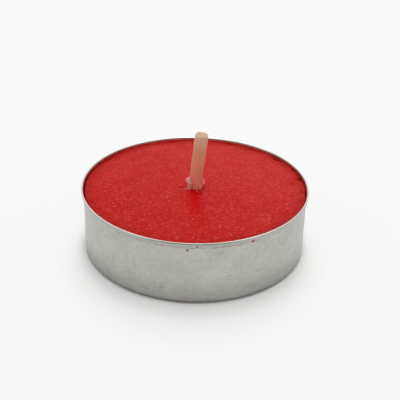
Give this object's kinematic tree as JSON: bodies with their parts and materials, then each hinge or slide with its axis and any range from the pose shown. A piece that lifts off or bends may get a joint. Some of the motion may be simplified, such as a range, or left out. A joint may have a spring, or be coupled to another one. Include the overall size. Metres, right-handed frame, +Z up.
{
  "type": "tea light candle",
  "caption": "Short round candle: a pressed wax tablet with a waxed wick and its sustainer, in a low drawn metal cup with a folded rim.",
  "frame": {"origin": "middle of the cup's underside, on the ground that the foot ring rests on", "axes": "+Z up along the cup's axis, +X to the side that the wick leans to, +Y away from the pictured side"},
  "size_m": [0.038, 0.038, 0.0207],
  "materials": {
    "cup_metal": "satin drawn sheet",
    "tablet_wax": "pressed granular wax",
    "wick_cord": "waxed braided cotton",
    "sustainer_metal": "bright tinplate"
  },
  "bodies": {
    "root": {"cup": "cup_metal", "wax_tablet": "tablet_wax", "wick": "wick_cord", "wick_sustainer": "sustainer_metal"}
  },
  "joints": []
}
